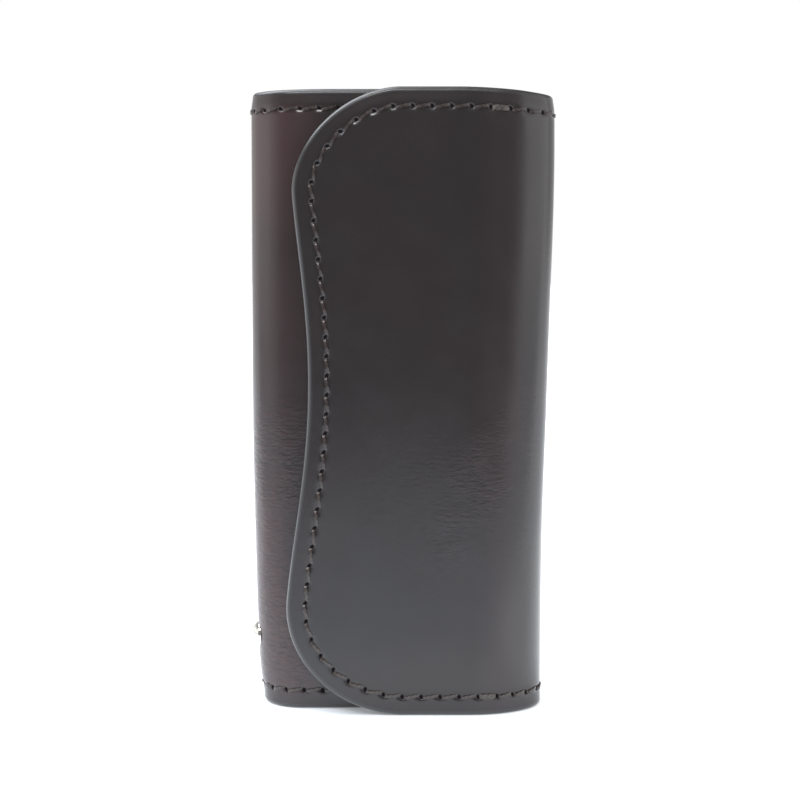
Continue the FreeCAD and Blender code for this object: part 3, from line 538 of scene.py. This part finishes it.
class HideOutline:
    """The flat hide's outline, anticlockwise in s and z, sampled for a grid of columns and rows.

    Its pieces are the base, the flap's lower corner, hollow and upper corner, the top, and the
    panel's upper corner, end and lower corner. The grid's four corners lie half way round the
    hide's four rounded corners. One column starts at the middle of the back at both ends, where
    the hide is split into its two sides.
    """

    LEFT, RIGHT, ROWS = 104, 120, 150
    DENSE = 1500

    def __init__(self, wrap):
        self.wrap = wrap
        flap = [(laid_flat(wrap, 1.0, x, z), z) for x, z in flap_edge(wrap, self.DENSE)]
        panel = [(laid_flat(wrap, -1.0, x, z), z) for x, z in panel_end(wrap, self.DENSE)]
        base = self.straight(panel[2][0][-1], flap[0][0][0], 0.0)
        top = self.straight(flap[2][0][-1], panel[0][0][0], wrap.height)
        pieces = [np.stack(piece, axis=-1) for piece in (base, *flap, top, *panel)]
        self.points = np.concatenate([piece[:-1] for piece in pieces] + [pieces[0][:1]])
        steps = np.linalg.norm(np.diff(self.points, axis=0), axis=1)
        self.distance = np.concatenate([[0.0], np.cumsum(steps)])
        self.total = self.distance[-1]
        starts = self.distance[np.arange(len(pieces)) * (self.DENSE - 1)]
        ends = np.append(starts[1:], self.total)
        middle = (starts + ends) / 2
        base_split = starts[0] - pieces[0][0, 0]
        top_split = starts[4] + pieces[4][0, 0]
        turns = [
            (middle[7] - self.total, base_split, self.LEFT),
            (base_split, middle[1], self.RIGHT),
            (middle[1], middle[3], self.ROWS),
            (middle[3], top_split, self.RIGHT),
            (top_split, middle[5], self.LEFT),
            (middle[5], middle[7], self.ROWS),
        ]
        self.sample = np.concatenate([np.linspace(a, b, n, endpoint=False) for a, b, n in turns])
        tangent = np.roll(self.points[:-1], -1, axis=0) - np.roll(self.points[:-1], 1, axis=0)
        outward = np.stack([tangent[:, 1], -tangent[:, 0]], axis=-1)
        outward /= np.linalg.norm(outward, axis=1, keepdims=True)
        self.outward = np.concatenate([outward, outward[:1]])
        seam = self.points - self.outward * wrap.seam_inset
        steps = np.linalg.norm(np.diff(seam, axis=0), axis=1)
        run = np.concatenate([[0.0], np.cumsum(steps)])
        self.stitches = round(run[-1] / wrap.seam_pitch)
        self.phase = run / run[-1] * self.stitches

    def straight(self, start, end, z):
        return np.linspace(start, end, self.DENSE), np.full(self.DENSE, z)

    def at(self, distance, values):
        """Values of the outline at distances along it, which may run past its ends."""
        distance = np.mod(distance, self.total)
        columns = [np.interp(distance, self.distance, column) for column in values.T]
        return np.stack(columns, axis=-1)

    def inset(self, depth):
        """The grid's outline points moved in by a depth."""
        return self.at(self.sample, self.points) - depth * self.at(self.sample, self.outward)

    def grid_phase(self):
        """Count of stitches along the seam at the grid's outline points."""
        return np.interp(np.mod(self.sample, self.total), self.distance, self.phase)

    def on_seam(self, phase):
        """Points of the seam, and the outward direction there, at counts of stitches."""
        distance = np.interp(np.mod(phase, self.stitches), self.phase, self.distance)
        outward = self.at(distance, self.outward)
        return self.at(distance, self.points) - outward * self.wrap.seam_inset, outward


def inner_grid(ring, columns, rows):
    """Fills a ring with a grid: straight columns from base to top, bent towards the two ends.

    A point is the even mix of its column's two ends, plus how far each end of the ring leaves its
    own chord, fading with the fifth power of the distance from that end.
    """
    base = ring[:columns + 1]
    right = ring[columns:columns + rows + 1]
    top = ring[columns + rows:2 * columns + rows + 1][::-1]
    left = np.concatenate([ring[2 * columns + rows:], ring[:1]])[::-1]
    up = np.linspace(0.0, 1.0, rows + 1)[:, None, None]
    over = np.linspace(0.0, 1.0, columns + 1)[None, :, None]
    grid = base[None] * (1 - up) + top[None] * up
    right_bow = right - (right[0] * (1 - up[:, 0]) + right[-1] * up[:, 0])
    left_bow = left - (left[0] * (1 - up[:, 0]) + left[-1] * up[:, 0])
    return grid + right_bow[:, None] * over ** 5 + left_bow[:, None] * (1 - over) ** 5


WAVE = 0.04 * MM


def relief(wrap, s, z, edge):
    """How far the hide is moved in: its edges lean in, more so at a fold, and it waves a little.

    The lean falls smoothly to nothing at the seam, and towards the base. The waves are a slow sine
    and a product of two.
    """
    run, radius = fold(wrap, np.where(s < 0, -1.0, 1.0), z)
    turn = np.clip((np.abs(s) - run) / radius, 0.0, np.pi)
    lean = (wrap.lean + wrap.curl * np.sin(turn) ** 2) * (1 - smooth(edge / wrap.seam_inset))
    lean *= smooth(4 * z / wrap.height)
    inside = smooth((edge - 1.5 * wrap.seam_inset) / (4 * wrap.seam_inset))
    waves = np.sin(s * 97.0 + 1.3) * np.sin(z * 61.0 + 0.4) + 0.6 * np.sin(s * 210.0 - z * 130.0)
    return lean + waves * inside * WAVE


def quads(index):
    """Faces of a grid of vertex numbers, which look outwards on the hide."""
    corners = [index[:-1, :-1], index[1:, :-1], index[1:, 1:], index[:-1, 1:]]
    return np.stack(corners, axis=-1).reshape(-1, 4)


def rounded_profile(radius, face, wall, sign):
    """Distances from the edge and depths of a cut edge: wall, quarter round, then the flat face.

    The flat face goes a little past the seam.
    """
    turn = np.linspace(0.0, np.pi / 2, 8)
    flat = np.array([0.95, 1.5, 2.2, 2.7, 3.05, 3.4, 3.7, 3.95]) * MM
    bend = face + sign * radius * (1 - np.sin(turn))
    edge = np.concatenate([[0.0], radius * (1 - np.cos(turn)), flat])
    return edge, np.concatenate([[wall], bend, np.full(len(flat), face)])


class HideLayer:
    """One layer of the hide as a closed sheet. Each face is a grid with rings along the free edge.

    The shown face follows a rounded edge profile and is pulled in along the seam, most at the
    stitch holes, with a bell curve across it. The glued face is flat.
    """

    GROOVE = 0.42 * MM
    GRID_END, GRID_EDGE = 4.4 * MM, 4.3 * MM

    def __init__(self, outline, edge, depth, glued, pull):
        wrap = outline.wrap
        self.outline = outline
        self.columns = outline.LEFT + outline.RIGHT
        self.rows = outline.ROWS
        rings = np.stack([outline.inset(value) for value in edge])
        grid = inner_grid(rings[-1], self.columns, self.rows)[1:-1, 1:-1].reshape(-1, 2)
        self.ring_count, self.ring_size = rings.shape[:2]
        flat = np.concatenate([rings.reshape(-1, 2), grid])
        s, z = flat[:, 0], flat[:, 1]
        phase = np.tile(outline.grid_phase(), self.ring_count)
        phase = np.concatenate([phase, np.zeros(len(grid))]) * 2 * np.pi
        ring_edge = np.repeat(edge, self.ring_size)
        self.edge = np.concatenate([ring_edge, self.inner_edge(wrap, grid)])
        near = np.exp(-(((self.edge - wrap.seam_inset) / self.GROOVE) ** 2))
        groove = pull * near * (0.55 + 0.45 * np.cos(phase))
        moved = relief(wrap, s, z, self.edge)
        shown = np.concatenate([np.repeat(depth, self.ring_size), np.full(len(grid), depth[-1])])
        self.front = folded(wrap, s, z, shown + moved + groove)
        self.rear = folded(wrap, s, z, glued + moved)
        self.cosine = np.cos(phase)
        self.sine = np.sin(phase)

    def inner_edge(self, wrap, grid):
        """Distance of grid points from the nearest long edge or end, kept past the last ring's."""
        s, z = grid[:, 0], grid[:, 1]
        ends = np.minimum(s.max() - s, s - s.min()) + self.GRID_END
        return np.maximum(np.minimum(np.minimum(z, wrap.height - z), ends), self.GRID_EDGE)

    def numbers(self, start):
        """Vertex numbers of the rings, and of the grid with the last ring as its border."""
        count, size = self.ring_count, self.ring_size
        columns, rows = self.columns, self.rows
        rings = start + np.arange(count * size).reshape(count, size)
        inner = np.arange((rows - 1) * (columns - 1)).reshape(rows - 1, columns - 1)
        grid = np.zeros((rows + 1, columns + 1), int)
        grid[1:-1, 1:-1] = start + count * size + inner
        last = np.append(rings[-1], rings[-1, 0])
        grid[0] = last[:columns + 1]
        grid[:, -1] = last[columns:columns + rows + 1]
        grid[-1] = last[columns + rows:2 * columns + rows + 1][::-1]
        grid[:, 0] = last[2 * columns + rows:][::-1]
        return rings, grid

    def side_faces(self, start, right):
        """Quads of one face of the sheet on one side of the split, and the vertices along it."""
        rings, grid = self.numbers(start)
        split = self.outline.LEFT
        columns, rows = self.columns, self.rows
        cells = grid[:, split:] if right else grid[:, :split + 1]
        base, top = split, columns + rows + (columns - split)
        closed = np.concatenate([rings, rings[:, :1]], axis=1)
        if right:
            band = [closed[:, base:top + 1]]
        else:
            band = [closed[:, top:], closed[:, :base + 1]]
        line = np.concatenate([rings[:-1, base], grid[:, split], rings[:-1, top][::-1]])
        return np.concatenate([quads(part) for part in (*band, cells)]), line

    def mesh(self, name, right, inward):
        """The closed half sheet on one side of the split. Inward turns its faces round."""
        shift = len(self.front)
        front, front_line = self.side_faces(0, right)
        rear, rear_line = self.side_faces(shift, right)
        wall = np.stack([front_line[:-1], front_line[1:], rear_line[1:], rear_line[:-1]], axis=-1)
        if right:
            wall = wall[:, ::-1]
        faces = np.concatenate([front, rear[:, ::-1], wall])
        same = np.arange(2 * shift)
        same[shift:shift + self.ring_size] = np.arange(self.ring_size)
        faces = same[faces]
        if inward:
            faces = faces[:, ::-1]
        values = {
            "panel": np.full(2 * shift, 0.0 if right else 1.0),
            "edge_mm": np.tile(self.edge / MM, 2),
            "stitch_cosine": np.tile(self.cosine, 2),
            "stitch_sine": np.tile(self.sine, 2),
        }
        return new_mesh(name, np.concatenate([self.front, self.rear]), faces, values)


def new_mesh(name, points, faces, values):
    """A mesh of the used points only, with values stored on them. Repeated corners are dropped."""
    used, numbers = np.unique(faces, return_inverse=True)
    numbers = numbers.reshape(faces.shape)
    repeated = numbers == np.roll(numbers, 1, axis=1)
    short = repeated.any(axis=1)
    whole = numbers[~short]
    cut = numbers[short][~repeated[short]].reshape(-1, faces.shape[1] - 1)
    mesh = bpy.data.meshes.new(name)
    mesh.from_pydata(points[used].tolist(), [], whole.tolist() + cut.tolist())
    for key, stored in values.items():
        layer = mesh.attributes.new(key, "FLOAT", "POINT")
        layer.data.foreach_set("value", stored[used].astype(np.float32))
    mesh.shade_smooth()
    mesh.set_sharp_from_angle(angle=math.radians(50))
    if mesh.validate(verbose=True):
        raise RuntimeError(f"{name}: the mesh had bad faces")
    return mesh


SIDES = ((True, "flap"), (False, "front_panel"))


def add_piece(name, mesh, finish, right, nodes):
    """Puts a mesh in the scene as a piece with its finish, and hides the frame parts that it stands
    for.

    On the case, the right fold bends over its whole depth, clear of the sheets on back and front.
    The left fold holds the plate and a rivet, so it bends in a strip in front of them.
    """
    piece = bpy.data.objects.new(name, mesh)
    bpy.context.scene.collection.objects.link(piece)
    mesh.materials.append(finish)
    wrap = bpy.context.scene.key_case_wrap
    lean = (wrap.depth_base - wrap.depth_top) / wrap.height
    if right:
        lean /= 2
    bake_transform(piece)
    if nodes:
        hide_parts(*nodes)
    return piece


class OuterLeather(Operator):
    """Build the two sides of the outer leather"""

    bl_idname = "key_case.outer_leather"
    bl_label = "Outer leather"

    def execute(self, context):
        wrap = context.scene.key_case_wrap
        finish = material("glazed_hide", hide_material)
        edge, depth = rounded_profile(wrap.edge_round, 0.0, wrap.outer, 1)
        layer = HideLayer(HideOutline(wrap), edge, depth, wrap.outer, wrap.seam_pull)
        for right, body in SIDES:
            name = f"{body}_hide"
            mesh = layer.mesh(name, right, inward=False)
            nodes = (f"{body}_outer", "back_outer")
            add_piece(name, mesh, finish, right, nodes)
        return {"FINISHED"}


class LiningLeather(Operator):
    """Build the two sides of the lining"""

    bl_idname = "key_case.lining"
    bl_label = "Lining"

    def execute(self, context):
        wrap = context.scene.key_case_wrap
        finish = material("lining_hide", lining_material)
        inner = wrap.outer + wrap.lining
        edge, depth = rounded_profile(wrap.lining_round, inner, wrap.outer, -1)
        layer = HideLayer(HideOutline(wrap), edge, depth, wrap.outer, -wrap.seam_pull / 2)
        for right, body in SIDES:
            name = f"{body}_lining_hide"
            mesh = layer.mesh(name, right, inward=True)
            nodes = (f"{body}_lining", "back_lining")
            add_piece(name, mesh, finish, right, nodes)
        return {"FINISHED"}


class Stitching(Operator):
    """Sew the seam round the free edges, on both faces"""

    bl_idname = "key_case.stitching"
    bl_label = "Stitching"

    RINGS, CORNERS = 10, 8
    HALF_LENGTH = 0.44
    SLANT, DIVE = 0.34 * MM, 0.36 * MM
    FLATNESS = 0.65
    TURNS = 1.6

    def stitch_grid(self, wrap, outline, inside):
        """Every stitch at once: an oval carried along the seam, which thins and dives at its ends.

        The oval's width and height follow the square roots of a cosine and a sine. The middle line
        is slanted across the seam. Its depth grows with the third power of the distance from the
        middle, and its half width falls with the sixth. A doubled stitch is wider and not slanted.
        """
        order = np.arange(outline.stitches)[:, None, None]
        along = np.linspace(-1.0, 1.0, self.RINGS)[None, :, None]
        angle = np.linspace(0.0, 2 * np.pi, self.CORNERS, endpoint=False)[None, None, :] + np.pi / 2
        shape = np.broadcast_shapes(order.shape, along.shape, angle.shape)
        phase = np.broadcast_to(order + 0.5 + along * self.HALF_LENGTH, shape)
        lock = self.locks(wrap, outline)[:, None, None]
        half = wrap.thread / 2 * (1 - 0.4 * along ** 6) * (1 + 0.6 * lock)
        waves = np.cos(angle), np.sin(angle)
        wide, high = (np.sign(wave) * np.sqrt(np.abs(wave)) for wave in waves)
        across = half * wide + along * self.SLANT * (1 - lock)
        point, outward = outline.on_seam(phase.reshape(-1))
        flat = point + outward * np.broadcast_to(across, shape).reshape(-1, 1)
        bed = relief(wrap, flat[:, 0], flat[:, 1], np.full(len(flat), wrap.seam_inset))
        height = half * self.FLATNESS * high - np.abs(along) ** 3 * self.DIVE
        rise = np.broadcast_to(height, shape).reshape(-1)
        depth = wrap.outer + wrap.lining + rise if inside else -rise
        values = {
            "twist": np.broadcast_to(along * self.TURNS + angle / np.pi, shape).reshape(-1),
            "lock": np.broadcast_to(lock, shape).reshape(-1),
        }
        return folded(wrap, flat[:, 0], flat[:, 1], bed + depth), values, point[:, 0]

    def locks(self, wrap, outline):
        """One for the two doubled stitches at the seam's ends, zero for the others."""
        middle = outline.on_seam(np.arange(outline.stitches) + 0.5)[0]
        place = folded(wrap, middle[:, 0], middle[:, 1], 0.0)
        top = (wrap.lock_top, wrap.back - wrap.depth_top, wrap.height - wrap.seam_inset)
        base = (wrap.lock_base, wrap.back - wrap.depth_base, wrap.seam_inset)
        lock = np.zeros(outline.stitches)
        for target in (top, base):
            lock[np.argmin(np.linalg.norm(place - target, axis=1))] = 1.0
        return lock

    def faces(self, count, inside):
        """Tubes closed at both ends by a fan of quads onto the first corner of each end ring."""
        rings, corners = self.RINGS, self.CORNERS
        index = np.arange(rings * corners).reshape(rings, corners)
        index = np.concatenate([index, index[:, :1]], axis=1)
        tube = quads(index)[:, ::-1]
        fan = np.arange(1, corners - 1)
        low = np.stack([0 * fan, 0 * fan, fan, fan + 1], axis=-1)
        high = np.stack([0 * fan, 0 * fan, fan + 1, fan], axis=-1) + (rings - 1) * corners
        one = np.concatenate([tube, low, high])
        if inside:
            one = one[:, ::-1]
        return one[None] + (np.arange(count) * rings * corners)[:, None, None]

    def execute(self, context):
        wrap = context.scene.key_case_wrap
        finish = material("waxed_thread", thread_material)
        outline = HideOutline(wrap)
        points, faces, place = [], [], []
        values = {"twist": [], "lock": []}
        for inside in (False, True):
            grid, numbers, where = self.stitch_grid(wrap, outline, inside)
            faces.append(self.faces(outline.stitches, inside) + sum(map(len, points)))
            points.append(grid)
            place.append(where.reshape(outline.stitches, -1).mean(axis=1))
            for name, kept in values.items():
                kept.append(numbers[name])
        points, faces, place = (np.concatenate(kept) for kept in (points, faces, place))
        values = {name: np.concatenate(kept) for name, kept in values.items()}
        for right, body in SIDES:
            chosen = faces[(place > 0) == right].reshape(-1, 4)
            name = f"{body}_stitching"
            mesh = new_mesh(name, points, chosen, values)
            add_piece(name, mesh, finish, right, ())
        return {"FINISHED"}


# Metal

def finish_nodes(names, finish):
    """Gives frame pieces a finish."""
    for name in names:
        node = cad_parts[name]
        if not node.material_slots:
            node.data.materials.append(finish)
        for slot in node.material_slots:
            slot.material = finish


class RivetMetal(Operator):
    """Finish the rivets"""

    bl_idname = "key_case.rivets"
    bl_label = "Rivets"

    def execute(self, context):
        finish_nodes(("rivet_caps", "rivet_posts"), material("nickel_plate", nickel_material))
        return {"FINISHED"}


class HookMetal(Operator):
    """Finish the hook plate, the hooks, their gates and pins"""

    bl_idname = "key_case.hooks"
    bl_label = "Hooks and plate"

    def execute(self, context):
        nodes = [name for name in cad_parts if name.startswith("hook_")]
        gates = [name for name in nodes if "gate" in name]
        stamped = [name for name in nodes if "gate" not in name]
        finish_nodes(stamped, material("satin_nickel", satin_material))
        finish_nodes(gates, material("spring_steel", steel_material))
        return {"FINISHED"}


class SnapMetal(Operator):
    """Finish the press snap"""

    bl_idname = "key_case.snap"
    bl_label = "Press snap"

    def execute(self, context):
        plated = ("snap_cap", "snap_socket", "snap_stud", "snap_post")
        finish_nodes(plated, material("nickel_plate", nickel_material))
        finish_nodes(("snap_spring",), material("spring_steel", steel_material))
        return {"FINISHED"}


# Stage

WHITE = (1.0, 1.0, 1.0, 1.0)
FILL = 0.8
LAMP_TARGET = (0.0, 0.0, 0.05)


class Stage(Operator):
    """Set the camera, the floor and the light"""

    bl_idname = "key_case.stage"
    bl_label = "Stage"

    def camera(self, context, stage):
        data = bpy.data.cameras.new("camera")
        data.sensor_width = 36.0
        data.lens = stage.lens
        data.clip_start = 0.01
        data.dof.use_dof = False
        camera = bpy.data.objects.new("camera", data)
        camera.location = (0.0, -stage.distance, stage.eye)
        camera.rotation_euler = (math.pi / 2 - stage.pitch, 0.0, 0.0)
        context.scene.collection.objects.link(camera)
        context.scene.camera = camera

    def floor(self, context, stage):
        """A wide flat sheet whose camera rays are lifted to white, so that only the shadow shows.

        Mirrored in the leather, it is bright beside and behind the case and round its foot, and it
        ends in front of the case, where the dim room begins.
        """
        grid_x, grid_y = np.meshgrid(np.linspace(-3.0, 3.0, 5), np.linspace(-0.37, 3.0, 5))
        points = np.stack([grid_x, grid_y, np.zeros_like(grid_x)], axis=-1).reshape(-1, 3)
        faces = quads(np.arange(grid_x.size).reshape(grid_x.shape))[:, ::-1]
        mesh = bpy.data.meshes.new("floor")
        mesh.from_pydata(points.tolist(), [], faces.tolist())
        graph = new_graph("floor")
        place = graph.place()
        x, y = graph.split(place)[:2]
        away = graph.add("ShaderNodeVectorMath", {"operation": "LENGTH"}, [place], "Value")
        right = x.ramp(0.035, 0.07) * y.ramp(-0.13, -0.03)
        beside = (y.ramp(-0.10, 0.02) + right).math("MINIMUM", 1.0) * away.ramp(0.018, 0.04)
        foot = away.ramp(0.020, 0.036, 0.4, 0.0)
        sides = x.ramp(0.035, 0.06) * x.ramp(0.13, 0.21, 0.6, 0.0) + x.ramp(-0.17, -0.09, 0.4, 0.0)
        mirrored = graph.light_path("Is Glossy Ray") * (beside + foot + sides * y.ramp(-0.03, 0.01))
        lift = graph.light_path("Is Camera Ray") * away.ramp(0.012, 0.05, 0.15, 1.0) + mirrored
        diffuse = graph.add("ShaderNodeBsdfDiffuse", None, {"Color": (*stage.floor, 1.0)})
        glow = graph.add("ShaderNodeEmission", None, {"Color": WHITE, "Strength": lift})
        graph.finish(graph.add("ShaderNodeAddShader", None, [diffuse, glow]))
        mesh.materials.append(graph.owner)
        floor = bpy.data.objects.new("floor", mesh)
        context.scene.collection.objects.link(floor)

    def world(self, context):
        """White all round for camera rays, and a dim room behind the camera for mirrored rays."""
        world = bpy.data.worlds.new("studio")
        context.scene.world = world
        graph = Graph(world)
        x, y, z = graph.split(graph.add("ShaderNodeTexCoord", output="Generated"))
        room = 0.28 + y.ramp(-0.92, -0.74) * z.ramp(0.25, 0.42, 0.70, 0.0)
        room = room + x.ramp(-0.35, -0.05, 0.25, 0.0) * y.ramp(0.1, 0.5)
        seen = graph.light_path("Is Camera Ray")
        glossy = graph.light_path("Is Glossy Ray")
        through = graph.light_path("Is Transmission Ray")
        plain = (1 - seen - glossy - through).math("MAXIMUM", 0.0)
        strength = seen + through + glossy * room + plain * FILL
        sockets = {"Color": WHITE, "Strength": strength}
        graph.finish(graph.add("ShaderNodeBackground", None, sockets))

    def lamp(self, context, name, place, size, radiance, tint=(1.0, 1.0, 1.0)):
        """A softbox that faces the case. Its power is its radiance times pi times its area."""
        data = bpy.data.lights.new(name, "AREA")
        data.shape = "RECTANGLE"
        data.size, data.size_y = size
        data.energy = radiance * math.pi * size[0] * size[1]
        data.color = tint
        lamp = bpy.data.objects.new(name, data)
        lamp.location = place
        aim = np.array(LAMP_TARGET) - np.array(place)
        pitch = math.atan2(math.hypot(aim[0], aim[1]), -aim[2])
        lamp.rotation_euler = (pitch, 0.0, math.atan2(-aim[0], aim[1]))
        context.scene.collection.objects.link(lamp)

    def execute(self, context):
        stage = context.scene.key_case_stage
        self.camera(context, stage)
        self.floor(context, stage)
        self.world(context)
        self.lamp(context, "top_softbox", (-0.28, 0.0, 0.62), (0.55, 0.55), 5.8, (0.90, 0.95, 1.0))
        self.lamp(context, "left_softbox", (-0.60, -0.06, 0.19), (0.8, 0.26), 0.63)
        self.lamp(context, "right_softbox", (0.57, -0.19, 0.36), (0.8, 0.72), 0.8)
        self.lamp(context, "front_lamp", (-0.06, -0.42, 0.47), (0.13, 0.13), 14.0)
        context.scene.view_settings.view_transform = "Standard"
        return {"FINISHED"}


class KeyCasePanel(Panel):
    """Lists the settings and the steps that build the key case"""

    bl_idname = "VIEW3D_PT_key_case"
    bl_label = "Key case"
    bl_space_type = "VIEW_3D"
    bl_region_type = "UI"
    bl_category = "Key case"

    def draw(self, context):
        layout = self.layout
        for operator in STEPS:
            layout.operator(operator.bl_idname)
        for group, _ in GROUPS:
            settings = getattr(context.scene, group)
            box = layout.box()
            for name in settings.__annotations__:
                box.prop(settings, name)


GROUPS = (
    ("key_case_wrap", WrapSettings),
    ("key_case_finish", FinishSettings),
    ("key_case_stage", StageSettings),
)
STEPS = (Stage, OuterLeather, LiningLeather, Stitching, RivetMetal, HookMetal, SnapMetal)


def register():
    for name, group in GROUPS:
        bpy.utils.register_class(group)
        setattr(bpy.types.Scene, name, PointerProperty(type=group))
    for step in (*STEPS, KeyCasePanel):
        bpy.utils.register_class(step)


def unregister():
    for step in (KeyCasePanel, *reversed(STEPS)):
        bpy.utils.unregister_class(step)
    for name, group in reversed(GROUPS):
        delattr(bpy.types.Scene, name)
        bpy.utils.unregister_class(group)


def main():
    register()
    bpy.ops.key_case.stage()
    bpy.ops.key_case.outer_leather()
    bpy.ops.key_case.lining()
    bpy.ops.key_case.stitching()
    bpy.ops.key_case.rivets()
    bpy.ops.key_case.hooks()
    bpy.ops.key_case.snap()


if __name__ == "__main__":
    main()
